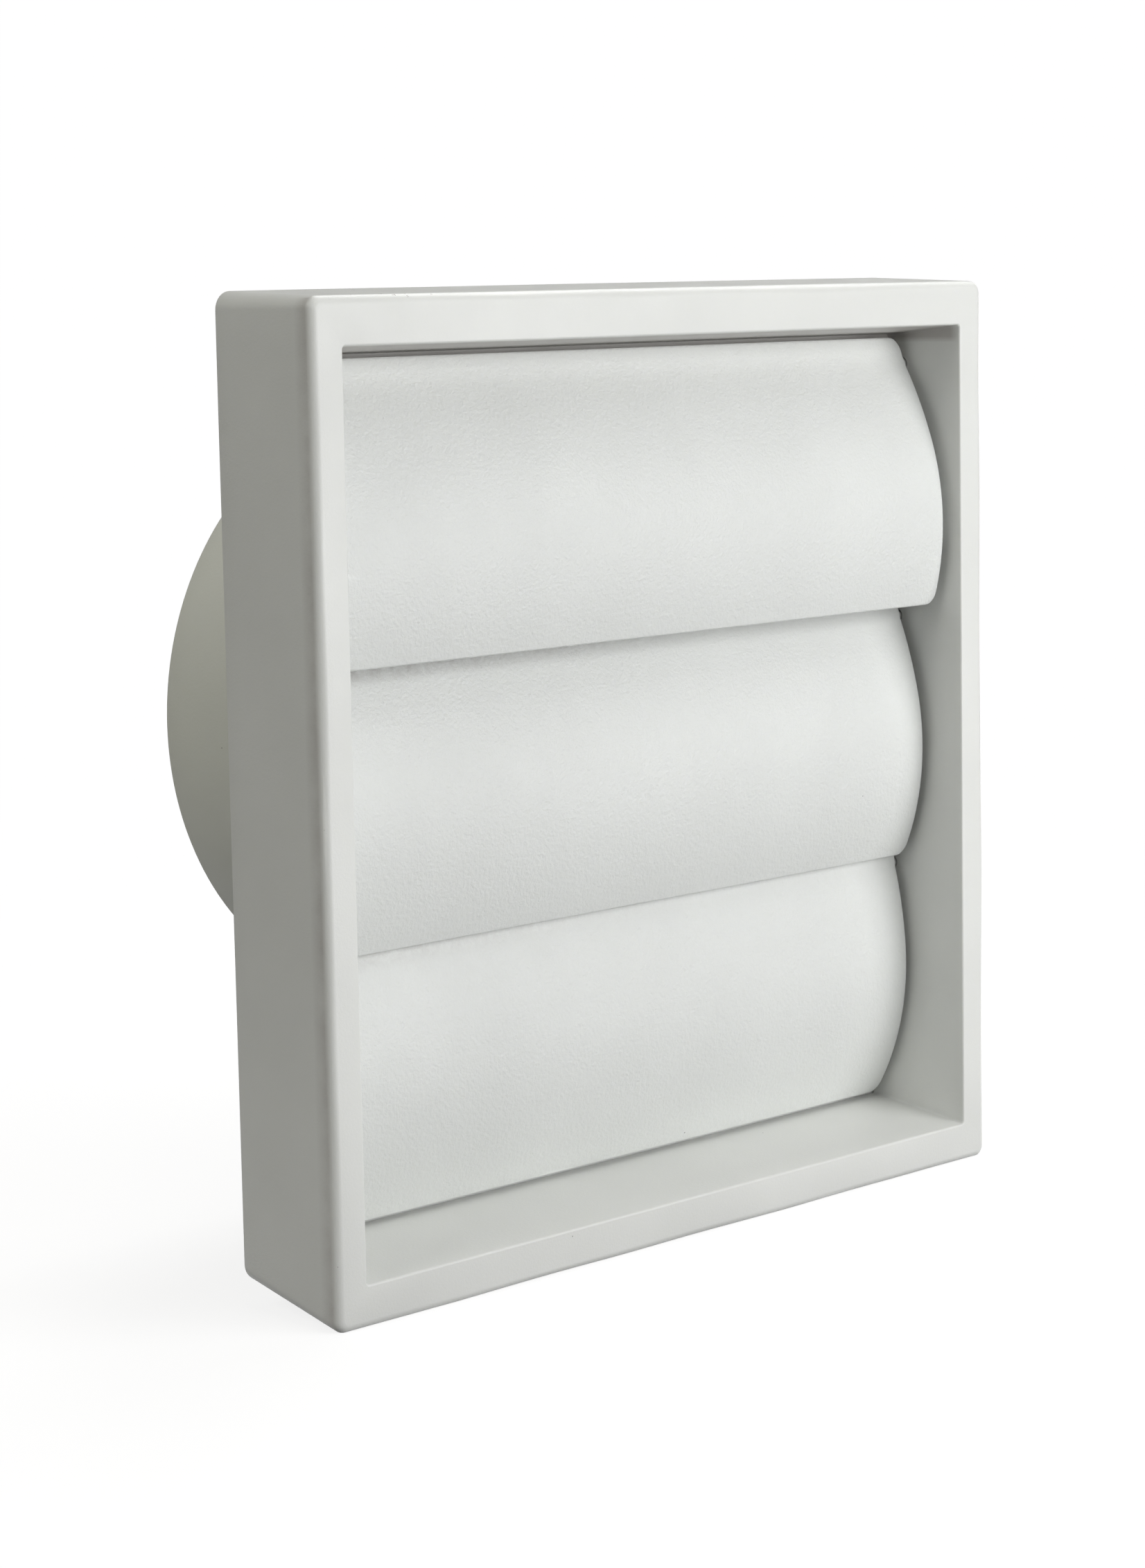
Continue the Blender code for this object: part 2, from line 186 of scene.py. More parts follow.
# ---- studio --------------------------------------------------------------------------------------
# name, place, width and height, power in watts, colour
LIGHTS = (
    ("near_front", (0.15, -0.50, 0.05), (0.4, 0.4), 1.2, (1.0, 1.0, 1.0)),
    ("near_front_right", (0.31, -0.55, 0.08), (0.45, 0.45), 2.1, (1.0, 1.0, 1.0)),
    ("front_left", (-0.95, -0.95, 0.30), (0.8, 0.8), 1.4, (1.0, 1.0, 0.98)),
    ("overhead", (0.0, -0.35, 1.15), (1.0, 1.0), 2.7, (1.0, 1.0, 1.0)),
    ("left_high", (-1.10, 0.10, 0.80), (0.8, 0.8), 6.1, (1.0, 0.99, 0.93)),
    ("above_behind", (0.9, 0.35, 1.1), (0.8, 0.8), 9.0, (1.0, 1.0, 1.0)),
)
LIGHT_TARGET = (0.0, -0.01, 0.0)
WORLD_COLOUR = (1.0, 0.99, 0.94, 1.0)
WORLD_STRENGTH = 0.035
DOME_RADIUS = 6.0
FLOOR_RADIUS = 0.9
FLOOR_FADE = (0.12, 0.45)
FLOOR_SHADE = (0.3, 0.3, 0.3, 1.0)
FLOOR_ROUGHNESS = 0.9
FLOOR_GLOW = 0.8

# ---- white plastic -------------------------------------------------------------------------------
# A noise is its scale in waves per metre, its detail and its roughness. Most of its values lie in NOISE_SPAN.
NOISE_SPAN = (0.3, 0.7)
GLOW_THROUGH = 0.3
GLOW_REACH = (1.0, 1.0, 0.9)
GLOW_DEPTH = 0.8 * MM
CLOUDS = (38.0, 3.0)
CLOUD_SHADE = 0.955
GLOSS_PATCHES = (90.0, 3.0)
GLOSS_SPREAD = 0.05
GRAIN_DETAIL = (3.0, 0.6)
# Colour of the stains, also used for painted shade under the top border and under the flap lips.
STAIN_AND_SHADE_COLOUR = (0.42, 0.39, 0.37, 1.0)
SPECK_COLOUR = (0.16, 0.15, 0.14, 1.0)
SPECK_SPACING = 4.5 * MM
SPECK_CHOICE = 0.86
SPECK_SIZES = (0.015, 0.042)  # of a cell
SPECK_STRENGTH = 0.7
# Convex edges found by pointiness are made paler: partly edge wear, partly a painted highlight along the lit
# rims.
WORN_AND_HIGHLIT_POINTINESS = (0.54, 0.64)
WORN_AND_HIGHLIT_MOST = 0.7
WORN_AND_HIGHLIT_PALER = 1.13
PALEST = 0.93
RUBBED_SMOOTHER = 0.1
EDGE_CHIPS = (330.0, 4.0, 0.7)
EDGE_CHIP_LEVEL = 0.69
EDGE_CHIP_STRENGTH = 0.55

# ---- marks on the surround, at distances behind its front ----------------------------------------
SIDE_MARKS = (0.7 * MM, 1.3 * MM, 1.7 * MM, 3.9 * MM)
SIDE_MARK_PATCHES = (160.0, 4.0, 0.6)
SIDE_MARK_AMOUNTS = (0.2, 0.5)
TOP_CHIPS = (0.2 * MM, 0.6 * MM, 2.0 * MM, 2.6 * MM)
TOP_CHIP_NOISE = (560.0, 3.0, 0.6)
TOP_CHIP_LEVEL = 0.64
TOP_CHIPS_END = (-60.0 * MM, -45.0 * MM)  # along X
# Under the top border the surround is darkened: mostly painted shade, with a little dirt.
RECESS_DIRT_AND_SHADE = (0.2 * MM, 2.0 * MM)
RECESS_DIRT_AND_SHADE_MOST = 0.7
RECESS_TOP = SIDE / 2 - BORDER_TOP
# heights where the dirt and painted shade under the top border start, are full, begin to end and are gone
RECESS_ROOF = (RECESS_TOP - TAPER_TOP - MM, RECESS_TOP - TAPER_TOP, RECESS_TOP, RECESS_TOP + 0.5 * MM)

# ---- dust and painted shade on the flaps, at distances below the lip of the flap above -----------
# Just under each lip the flap is darkened: partly dust, partly a painted contact shadow.
LIP_DUST_AND_SHADE = (3.2 * MM, 0.8 * MM, 0.2 * MM, 0.0)
LIP_DUST_AND_SHADE_AMOUNTS = {"flap_top": 1.0, "flap_middle": 0.4}
LIP_DUST_AND_SHADE_PATCHES = (650.0, 5.0, 0.75)
LIP_DUST_AND_SHADE_SPAN = (0.36, 0.66)
LIP_DUST_AND_SHADE_PATCH_AMOUNTS = (0.05, 0.75)
LIP_DUST_AND_SHADE_ACROSS = (-65.0 * MM, 20.0 * MM)  # thick at the first, thin from the second
LIP_DUST_AND_SHADE_THIN = 0.15


def add_object(name, builder):
    mesh = bpy.data.meshes.new(name)
    bmesh.ops.recalc_face_normals(builder, faces=builder.faces)
    builder.to_mesh(mesh)
    builder.free()
    made = bpy.data.objects.new(name, mesh)
    bpy.context.scene.collection.objects.link(made)
    return made


def loft(builder, rings, closed):
    """Quads between rings of equal length. A loft that isn't closed gets a cap on each end."""
    rows = [[builder.verts.new(point) for point in ring] for ring in rings]
    pairs = list(zip(rows, rows[1:]))
    if closed:
        pairs.append((rows[-1], rows[0]))
    else:
        builder.faces.new(rows[0])
        builder.faces.new(rows[-1])
    for near, far in pairs:
        for i, corner in enumerate(near):
            after = (i + 1) % len(near)
            builder.faces.new((corner, near[after], far[after], far[i]))


def lofted(name, rings, closed=False):
    builder = bmesh.new()
    loft(builder, rings, closed)
    return add_object(name, builder)


def combine(target, steps):
    """Joins and cuts the target with helpers, in order, and leaves one finished mesh."""
    for operation, helper in steps:
        modifier = target.modifiers.new(helper.name, "BOOLEAN")
        modifier.operation = operation
        modifier.solver = "EXACT"
        modifier.object = helper
    graph = bpy.context.evaluated_depsgraph_get()
    mesh = bpy.data.meshes.new_from_object(target.evaluated_get(graph))
    target.modifiers.clear()
    target.data = mesh
    for _, helper in steps:
        bpy.data.objects.remove(helper, do_unlink=True)
    return target


def smooth(obj, angle=32.0):
    """Shades smooth across everything gentler than the angle."""
    mesh = obj.data
    mesh.polygons.foreach_set("use_smooth", [True] * len(mesh.polygons))
    mesh.set_sharp_from_angle(angle=math.radians(angle))


def finish_piece(obj, body, slot, material, *nodes):
    smooth(obj)
    obj.data.materials.clear()
    obj.data.materials.append(material)
    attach(obj, body)
    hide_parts(*nodes)


def warped(point, amount, scale=WARP_SCALE):
    """The point moved a little, as a moulding is never quite flat, and kept inside the surround's box."""
    moved = point + noise.noise_vector(point * scale) * amount
    limits = zip(moved, SURROUND_LOW, SURROUND_HIGH)
    return Vector([min(max(value, least), most) for value, least, most in limits])


def rounded_rectangle(y, left, right, bottom, top, radius, edge_steps=EDGE_STEPS):
    """A ring in the plane at y: round corners, and straight edges in equal steps."""
    centres = (
        (right - radius, top - radius, 0.0),
        (left + radius, top - radius, 90.0),
        (left + radius, bottom + radius, 180.0),
        (right - radius, bottom + radius, 270.0),
    )
    ring = []
    for x, z, start in centres:
        turns = [math.radians(start + 90.0 * step / CORNER_STEPS) for step in range(CORNER_STEPS + 1)]
        corner = [Vector((x + radius * math.cos(t), y, z + radius * math.sin(t))) for t in turns]
        if ring:
            ring += between(ring[-1], corner[0], edge_steps)
        ring += corner
    return ring + between(ring[-1], ring[0], edge_steps)


def between(start, end, steps):
    """Points in equal steps between two others, without these two."""
    return [start.lerp(end, step / steps) for step in range(1, steps)]


def outside_ring(y, inset):
    """A ring of the surround's outside at y, drawn in by inset."""
    share = (y - FRONT) / DEPTH
    half_width = SIDE / 2 - SIDE_DRAFT * share - inset
    top = SIDE / 2 + TOP_RISE * share - inset
    bottom = -SIDE / 2 + UNDERSIDE_SLOPE * share + inset
    radius = max(CORNER_RADIUS - CORNER_TIGHTENING * (1.0 - share) - CORNER_SHRINK * inset, BREAK_EDGE)
    return rounded_rectangle(y, -half_width, half_width, bottom, top, radius)


def throat_ring(y, inset):
    """A ring of the tapering opening at y, drawn in by inset, which is negative inside the wall."""
    share = (y - FRONT) / THROAT_DEPTH
    half_width = SIDE / 2 - BORDER_SIDE - TAPER_SIDE * share - inset
    top = SIDE / 2 - BORDER_TOP - TAPER_TOP * share - inset
    bottom = -SIDE / 2 + BORDER_BOTTOM + TAPER_BOTTOM * share + inset
    return rounded_rectangle(y, -half_width, half_width, bottom, top, OPENING_CORNER - inset)


def arc(ring, y, inset, radius, start, steps=4, turn=-90.0):
    """Rings round one edge of the cross-section. The angle is measured from +Y towards the inside."""
    turns = [math.radians(start + turn * step / steps) for step in range(steps + 1)]
    return [ring(y + radius * math.cos(t), inset + radius * math.sin(t)) for t in turns]


def wall(ring, inset, start, end):
    """Rings along a straight wall, without its two ends."""
    return [ring(start + (end - start) * step / WALL_STEPS, inset) for step in range(1, WALL_STEPS)]


def box(name, low, high, edge):
    """A block with its edges broken."""
    corners = [(low[0], low[2]), (high[0], low[2]), (high[0], high[2]), (low[0], high[2])]
    made = lofted(name, [[Vector((x, y, z)) for x, z in corners] for y in (low[1], high[1])])
    builder = bmesh.new()
    builder.from_mesh(made.data)
    bmesh.ops.bevel(builder, geom=builder.edges[:], offset=edge, segments=3, profile=0.5, affect="EDGES")
    builder.to_mesh(made.data)
    builder.free()
    return made


def side_blocks(name, near, far, width, front, back, edge):
    """Four blocks inside the surround's skirt, two on each side."""
    blocks = []
    for hand in (-1, 1):
        xs = sorted((hand * near, hand * far))
        for height in HOOK_HEIGHTS:
            low = (xs[0], front, height - width / 2)
            high = (xs[1], back, height + width / 2)
            blocks.append(box(f"{name}_{len(blocks)}", low, high, edge))
    return blocks


def circle(y, radius, x=0.0, z=SPIGOT_HEIGHT, steps=ROUND_STEPS):
    """A ring round a line along Y, which is the spigot's own unless it is given."""
    turns = [2.0 * math.pi * step / steps for step in range(steps)]
    return [Vector((x + radius * math.cos(t), y, z + radius * math.sin(t))) for t in turns]


def cylinder_along_x(name, start, end, radius, y=0.0, z=0.0):
    """A short round bar from start to end along X, as a boss or as the cutter for a pin's hole."""
    turns = [2.0 * math.pi * step / SMALL_STEPS for step in range(SMALL_STEPS)]
    offsets = [(radius * math.cos(t), radius * math.sin(t)) for t in turns]
    return lofted(name, [[Vector((x, y + a, z + b)) for a, b in offsets] for x in (start, end)])


def make_surround(material):
    skin = FRONT + FACE_SKIN
    edge = BREAK_EDGE
    root = ROOT_FILLET
    rings = arc(outside_ring, -edge, edge, edge, 0.0)
    rings += wall(outside_ring, 0.0, -edge, FRONT + FRONT_FILLET)
    fillet = arc(outside_ring, FRONT + FRONT_FILLET, FRONT_FILLET, FRONT_FILLET, -90.0, 12)
    for index, ring in enumerate(fillet):
        amount = FILLET_WARP * math.sin(math.pi * index / (len(fillet) - 1))
        rings.append([warped(point, amount, FILLET_WARP_SCALE) for point in ring])
    rings += arc(throat_ring, FRONT + OPENING_EDGE, -OPENING_EDGE, OPENING_EDGE, 180.0, 6)
    rings += wall(throat_ring, 0.0, FRONT + OPENING_EDGE, THROAT_END - edge)
    rings += arc(throat_ring, THROAT_END - edge, -edge, edge, 90.0)
    rings += arc(throat_ring, THROAT_END - edge, edge - THROAT_WALL, edge, 0.0)
    rings += wall(throat_ring, -THROAT_WALL, THROAT_END - edge, skin + root)
    rings += arc(throat_ring, skin + root, -THROAT_WALL - root, root, 90.0, 4, 90.0)
    rings += arc(outside_ring, skin + root, SKIRT_WALL + root, root, 180.0, 4, 90.0)
    rings += wall(outside_ring, SKIRT_WALL, skin + root, -edge)
    rings += arc(outside_ring, -edge, SKIRT_WALL - edge, edge, 90.0)
    rings = [[warped(point, WARP) for point in ring] for ring in rings]
    surround = lofted("surround_moulding", rings, closed=True)
    share = RAIL_FROM_FRONT / THROAT_DEPTH
    top = SIDE / 2 - BORDER_TOP - TAPER_TOP * share + RAIL_BITE / 2
    reach = SIDE / 2 - BORDER_SIDE - TAPER_SIDE * share + RAIL_BITE
    rail_front = FRONT + RAIL_FROM_FRONT
    rail_low = (-reach, rail_front, RAIL_UNDERSIDE)
    steps = [("UNION", box("head_rail", rail_low, (reach, rail_front + RAIL_DEPTH, top), RAIL_EDGE))]
    near = SKIRT_INSIDE - RIB_HEIGHT
    rib_front = FRONT + RIB_FROM_FRONT
    rib_back = rib_front + RIB_LENGTH
    ribs = side_blocks("rib", near, near + SKIRT_WALL, RIB_WIDTH, rib_front, rib_back, edge)
    steps += [("UNION", rib) for rib in ribs]
    for flap, hinge in HINGES.items():
        for hand in (-1, 1):
            ends = sorted((hand * FLAP_LENGTH / 2, hand * (SKIRT_INSIDE - GAP)))
            hole = cylinder_along_x(f"hole_{flap}", *ends, PIN_RADIUS + GAP, hinge.y, hinge.z)
            steps.append(("DIFFERENCE", hole))
    combine(surround, steps)
    finish_piece(surround, "housing", "surround", material, "surround")


def make_plate(material):
    edge = BREAK_EDGE
    inset = SKIRT_WALL + GAP
    rings = arc(outside_ring, PLATE_FRONT + edge, inset + edge, edge, 180.0, 4, 90.0)
    rings += arc(outside_ring, -edge, inset + edge, edge, -90.0, 4, 90.0)
    plate = lofted("plate_moulding", rings)
    outside = SPIGOT_RADIUS - SPIGOT_WALL - GAP
    collar = lofted("collar", [
        circle(PLATE_FRONT / 2, outside),
        circle(COLLAR_LENGTH - edge, outside),
        circle(COLLAR_LENGTH, outside - edge),
    ])
    steps = [("UNION", collar)]
    arm_outside = SKIRT_INSIDE - HOOK_FROM_SKIRT
    arm_inside = arm_outside - HOOK_THICKNESS
    barb_back = FRONT + RIB_FROM_FRONT - GAP
    barb_front = barb_back - BARB_LENGTH
    near = arm_inside + HOOK_THICKNESS / 2
    hooks = side_blocks("arm", arm_inside, arm_outside, HOOK_WIDTH, barb_front, PLATE_FRONT / 2, edge)
    hooks += side_blocks("barb", near, arm_outside + BARB_HEIGHT, HOOK_WIDTH, barb_front, barb_back, edge)
    steps += [("UNION", hook) for hook in hooks]
    seat = PLATE_FRONT - SCREW_PAD_HEIGHT
    slope = (SCREW_HEAD_RADIUS - SCREW_HOLE_RADIUS) / COUNTERSINK_DEPTH
    reach = SCREW_PITCH / 2
    places = [(x, z) for x in (-reach, reach) for z in (-reach, reach)]
    for x, z in places:
        profile = (
            (seat, SCREW_PAD_RADIUS - edge),
            (seat + edge, SCREW_PAD_RADIUS),
            (PLATE_FRONT / 2, SCREW_PAD_RADIUS),
        )
        pad = lofted("screw_pad", [circle(y, radius, x, z, SMALL_STEPS) for y, radius in profile])
        steps.append(("UNION", pad))
    bore = outside - COLLAR_WALL
    steps.append(("DIFFERENCE", lofted("bore", [
        circle(seat - MM, bore),
        circle(COLLAR_LENGTH + MM, bore),
    ])))
    for x, z in places:
        profile = (
            (seat - MM, SCREW_HEAD_RADIUS + slope * MM),
            (seat + COUNTERSINK_DEPTH, SCREW_HOLE_RADIUS),
            (MM, SCREW_HOLE_RADIUS),
        )
        hole = lofted("screw_hole", [circle(y, radius, x, z, SMALL_STEPS) for y, radius in profile])
        steps.append(("DIFFERENCE", hole))
    combine(plate, steps)
    finish_piece(plate, "housing", "wall_plate", material, "wall_plate")


def make_spigot(material):
    start, end = SPIGOT_LOW.y, SPIGOT_HIGH.y
    edge = SPIGOT_EDGE
    inside = SPIGOT_RADIUS - SPIGOT_WALL
    profile = [(start, inside), (start, SPIGOT_RADIUS)]
    for step in range(1, SPIGOT_SPANS):
        profile.append((start + (end - edge - start) * step / SPIGOT_SPANS, SPIGOT_RADIUS))
    for step in range(SPIGOT_EDGE_STEPS + 1):
        turn = math.radians(90.0 * step / SPIGOT_EDGE_STEPS)
        profile.append((end - edge + edge * math.sin(turn), SPIGOT_RADIUS - edge + edge * math.cos(turn)))
    profile += [(end, inside + BREAK_EDGE), (end - BREAK_EDGE, inside)]
    spigot = lofted("spigot_moulding", [circle(y, radius) for y, radius in profile], closed=True)
    finish_piece(spigot, "housing", "duct_spigot", material, "duct_spigot")


def flap_outline():
    """Points up the outer face from the lip to the head, each with its heading, as (y, z, heading)."""
    y, z, heading = 0.0, -FLAP_DROP, LIP_HEADING
    points = [(y, z, heading)]
    for length, turn, steps in FLAP_STRETCHES:
        for _ in range(steps):
            middle = heading + turn / steps / 2
            y += length / steps * math.sin(middle)
            z += length / steps * math.cos(middle)
            heading += turn / steps
            points.append((y, z, heading))
    return points


def slab_ring(point, near, far, outer, inner, edge, spans=FLAP_SPANS):
    """A ring round the flap at a point of its outline, with its four edges rounded."""
    y, z, heading = point
    back = Vector((0.0, math.cos(heading), -math.sin(heading)))
    corners = (
        (near + edge, outer + edge, 180.0),
        (near + edge, inner - edge, 90.0),
        (far - edge, inner - edge, 0.0),
        (far - edge, outer + edge, -90.0),
    )
    rounded = []
    for x, depth, start in corners:
        turns = [math.radians(start + 90.0 - EDGE_TURN * step) for step in range(4)]
        rounded.append([(x + edge * math.cos(t), depth + edge * math.sin(t)) for t in turns])
    section = []
    for index, corner in enumerate(rounded):
        section += corner
        if index % 2:
            last, after = corner[-1], rounded[(index + 1) % 4][0]
            section += [(last[0] + (after[0] - last[0]) * step / spans, last[1]) for step in range(1, spans)]
    return [Vector((x, y, z)) + back * depth for x, depth in section]


def setback(distance, radius):
    """How far the flap's end is drawn in at a distance from the lip or head, which rounds their corners."""
    if distance >= radius:
        return 0.0
    return radius - math.sqrt(radius**2 - (radius - distance) ** 2)


def along(outline, distance):
    """The place and heading on the outline at a distance from the lip."""
    for near, far in zip(outline, outline[1:]):
        step = math.dist(near[:2], far[:2])
        if distance <= step:
            share = distance / step
            return tuple(a + (b - a) * share for a, b in zip(near, far))
        distance -= step
    return outline[-1]


def make_flap(name, material):
    """A bowed shell with a web and a hinge boss at each end, hung on its hinge line at its rest angle."""
    outline = flap_outline()
    half = FLAP_LENGTH / 2
    length = sum(math.dist(near[:2], far[:2]) for near, far in zip(outline, outline[1:]))
    lip = LIP_TRIM[name]
    bow = length - lip - LIP_CORNER - HEAD_CORNER
    distances = [lip + LIP_CORNER * share for share in CORNER_SHARES]
    distances += [lip + LIP_CORNER + bow * step / BOW_STEPS for step in range(BOW_STEPS + 1)]
    distances += [length - HEAD_CORNER * share for share in reversed(CORNER_SHARES)]
    hinge = HINGES[name]
    rings = []
    for distance in distances:
        from_lip, from_head = distance - lip, length - distance
        reach = half - setback(from_lip, LIP_CORNER) - setback(from_head, HEAD_CORNER)
        thin = FLAP_THICKNESS * max(0.0, LIP_ROUND - min(from_lip, from_head) / MM)
        ring = slab_ring(along(outline, distance), -reach, reach, thin, FLAP_THICKNESS - thin, FLAP_EDGE)
        rings.append([warped(point + hinge, FLAP_WARP) - hinge for point in ring])
    flap = lofted(name + "_moulding", rings)
    steps = []
    first, last = (int(len(outline) * share) for share in WEB_ENDS)
    for hand in (-1, 1):
        ends = sorted((hand * half, hand * (half - WEB_THICKNESS)))
        web = []
        for index in range(first, last + 1):
            share = (index - first) / (last - first)
            depth = FLAP_THICKNESS * WEB_DEPTH + WEB_BOW * math.sin(math.pi * share)
            web.append(slab_ring(outline[index], *ends, FLAP_THICKNESS / 2, depth, FLAP_EDGE / 2, 1))
        steps.append(("UNION", lofted(f"web_{hand}", web)))
        ends = sorted((hand * half, hand * (half - BOSS_LENGTH)))
        steps.append(("UNION", cylinder_along_x(f"boss_{hand}", *ends, BOSS_RADIUS)))
        ends = sorted((hand * (half - PIN_IN_FLAP - GAP), hand * (half + MM)))
        steps.append(("DIFFERENCE", cylinder_along_x(f"bore_{hand}", *ends, PIN_RADIUS + GAP)))
    combine(flap, steps)
    turn = Matrix.Rotation(math.radians(-FLAP_REST[name]), 4, "X")
    flap.data.transform(Matrix.Translation(HINGES[name]) @ turn)
    finish_piece(flap, name, "flap", material, name)


class Nodes:
    """A short way to add and join a material's nodes."""

    def __init__(self, name):
        self.material = bpy.data.materials.new(name)
        self.material.use_nodes = True
        self.tree = self.material.node_tree
        self.shader = self.tree.nodes["Principled BSDF"]
        self.place = self.add("ShaderNodeTexCoord").outputs["Object"]

    def add(self, kind, inputs=None, **settings):
        made = self.tree.nodes.new(kind)
        for key, value in settings.items():
            setattr(made, key, value)
        for key, value in (inputs or {}).items():
            if isinstance(value, bpy.types.NodeSocket):
                self.tree.links.new(value, made.inputs[key])
            else:
                made.inputs[key].default_value = value
        return made

    def noise(self, scale, detail=2.0, roughness=0.5):
        inputs = {"Vector": self.place, "Scale": scale, "Detail": detail, "Roughness": roughness}
        return self.add("ShaderNodeTexNoise", inputs).outputs["Fac"]

    def ranged(self, value, low, high, from_low=0.0, from_high=1.0):
        inputs = {"Value": value, "From Min": from_low, "From Max": from_high, "To Min": low, "To Max": high}
        return self.add("ShaderNodeMapRange", inputs).outputs["Result"]

    def mix(self, factor, first, second):
        """Colours mixed by a factor. The numbers are the places of a Mix node's colour sockets."""
        return self.add("ShaderNodeMix", {0: factor, 6: first, 7: second}, data_type="RGBA").outputs[2]

    def math(self, operation, first, second):
        return self.add("ShaderNodeMath", {0: first, 1: second}, operation=operation).outputs[0]

    def product(self, *values):
        """All the values multiplied together."""
        result = values[0]
        for value in values[1:]:
            result = self.math("MULTIPLY", result, value)
        return result

    def drive(self, socket, value):
        self.tree.links.new(value, self.shader.inputs[socket])


def white_plastic(name, colour, roughness, grain_size, grain_depth, stain_and_shade=None):
    """Moulded white plastic: a spark-eroded grain, faint clouding, dust specks and slightly rubbed edges,
    made paler partly by wear and partly as a painted highlight.

    A stain is a function that gives where, from 0 to 1, the piece is darkened: by a little dirt, and by
    painted shade.
    """
    made = Nodes(name)
    made.shader.inputs["Subsurface Weight"].default_value = GLOW_THROUGH
    made.shader.inputs["Subsurface Radius"].default_value = GLOW_REACH
    made.shader.inputs["Subsurface Scale"].default_value = GLOW_DEPTH
    dull = tuple(part * CLOUD_SHADE for part in colour) + (1.0,)
    pale = tuple(min(PALEST, part * WORN_AND_HIGHLIT_PALER) for part in colour) + (1.0,)
    look = made.mix(made.ranged(made.noise(*CLOUDS), 0.0, 1.0, *NOISE_SPAN), dull, colour + (1.0,))
    # Stains, which also carry painted shade.
    if stain_and_shade:
        look = made.mix(stain_and_shade(made), look, STAIN_AND_SHADE_COLOUR)
    look = made.mix(specks(made), look, SPECK_COLOUR)
    # Paler convex edges: partly edge wear, partly a painted highlight.
    pointed = made.add("ShaderNodeNewGeometry").outputs["Pointiness"]
    worn_and_highlit = made.ranged(pointed, 0.0, WORN_AND_HIGHLIT_MOST, *WORN_AND_HIGHLIT_POINTINESS)
    look = made.mix(worn_and_highlit, look, pale)
    chipped = made.math("GREATER_THAN", made.noise(*EDGE_CHIPS), EDGE_CHIP_LEVEL)
    chipped = made.product(worn_and_highlit, chipped, EDGE_CHIP_STRENGTH)
    made.drive("Base Color", made.mix(chipped, look, SPECK_COLOUR))
    dullest, glossiest = roughness + GLOSS_SPREAD, roughness - GLOSS_SPREAD
    gloss = made.ranged(made.noise(*GLOSS_PATCHES), glossiest, dullest, *NOISE_SPAN)
    made.drive("Roughness", made.math("SUBTRACT", gloss, made.product(worn_and_highlit, RUBBED_SMOOTHER)))
    grain = made.noise(1.0 / grain_size, *GRAIN_DETAIL)
    bump = made.add("ShaderNodeBump", {"Height": grain, "Strength": 1.0, "Distance": grain_depth})
    made.drive("Normal", bump.outputs["Normal"])
    return made.material


def specks(made):
    """Sparse dots of dust, each in the middle of one cell."""
    cells = made.add("ShaderNodeTexVoronoi", {"Vector": made.place, "Scale": 1.0 / SPECK_SPACING})
    chosen = made.add("ShaderNodeSeparateColor", {"Color": cells.outputs["Color"]}).outputs["Red"]
    size = made.ranged(chosen, *SPECK_SIZES, SPECK_CHOICE, 1.0)
    dot = made.math("LESS_THAN", cells.outputs["Distance"], size)
    rare = made.math("GREATER_THAN", chosen, SPECK_CHOICE)
    return made.product(rare, dot, SPECK_STRENGTH)


def band(made, value, start, full, end, gone):
    """One between full and end, falling to nothing at start and gone."""
    return made.product(made.ranged(value, 0.0, 1.0, start, full), made.ranged(value, 1.0, 0.0, end, gone))


def behind_front(distances):
    """The places along Y at some distances behind the surround's front."""
    return [FRONT + distance for distance in distances]


def surround_marks_and_shade(made):
    """Grey marks on the sides and chips on the top, just behind the front, and under the top border a darker
    band that is mostly painted shade with a little dirt.
    """
    parts = made.add("ShaderNodeSeparateXYZ", {"Vector": made.place}).outputs
    aside = made.math("ABSOLUTE", parts["X"], 0.0)
    on_side = made.math("GREATER_THAN", aside, SIDE / 2 - MM)
    patchy = made.ranged(made.noise(*SIDE_MARK_PATCHES), *SIDE_MARK_AMOUNTS, *NOISE_SPAN)
    marks = made.product(on_side, band(made, parts["Y"], *behind_front(SIDE_MARKS)), patchy)
    on_top = made.math("GREATER_THAN", parts["Z"], SIDE / 2 - MM)
    chips = made.math("GREATER_THAN", made.noise(*TOP_CHIP_NOISE), TOP_CHIP_LEVEL)
    left = made.ranged(parts["X"], 1.0, 0.0, *TOP_CHIPS_END)
    chips = made.product(on_top, band(made, parts["Y"], *behind_front(TOP_CHIPS)), chips, left)
    # Darker band under the top border: mostly painted shade, with a little dirt.
    recess = made.math("LESS_THAN", aside, SIDE / 2 - BORDER_SIDE)
    inward = made.ranged(parts["Y"], 0.0, RECESS_DIRT_AND_SHADE_MOST, *behind_front(RECESS_DIRT_AND_SHADE))
    roof_dirt_and_shade = made.product(recess, band(made, parts["Z"], *RECESS_ROOF), inward)
    return made.math("MAXIMUM", made.math("MAXIMUM", marks, chips), roof_dirt_and_shade)


def lip_dust_and_shade(made):
    """Dust and painted shade on each flap's face just under the lip of the flap above, mostly on the left."""
    parts = made.add("ShaderNodeSeparateXYZ", {"Vector": made.place}).outputs
    bands = []
    # Each band darkens the flap under a lip: partly dust, partly painted shade.
    for above, amount in LIP_DUST_AND_SHADE_AMOUNTS.items():
        lip = HINGES[above].z - FLAP_DROP * math.cos(math.radians(FLAP_REST[above]))
        heights = [lip - distance for distance in LIP_DUST_AND_SHADE]
        bands.append(made.product(band(made, parts["Z"], *heights), amount))
    thinning = made.ranged(parts["X"], 1.0, LIP_DUST_AND_SHADE_THIN, *LIP_DUST_AND_SHADE_ACROSS)
    patchy = made.ranged(made.noise(*LIP_DUST_AND_SHADE_PATCHES), *LIP_DUST_AND_SHADE_PATCH_AMOUNTS, *LIP_DUST_AND_SHADE_SPAN)
    return made.product(made.math("MAXIMUM", *bands), thinning, patchy)


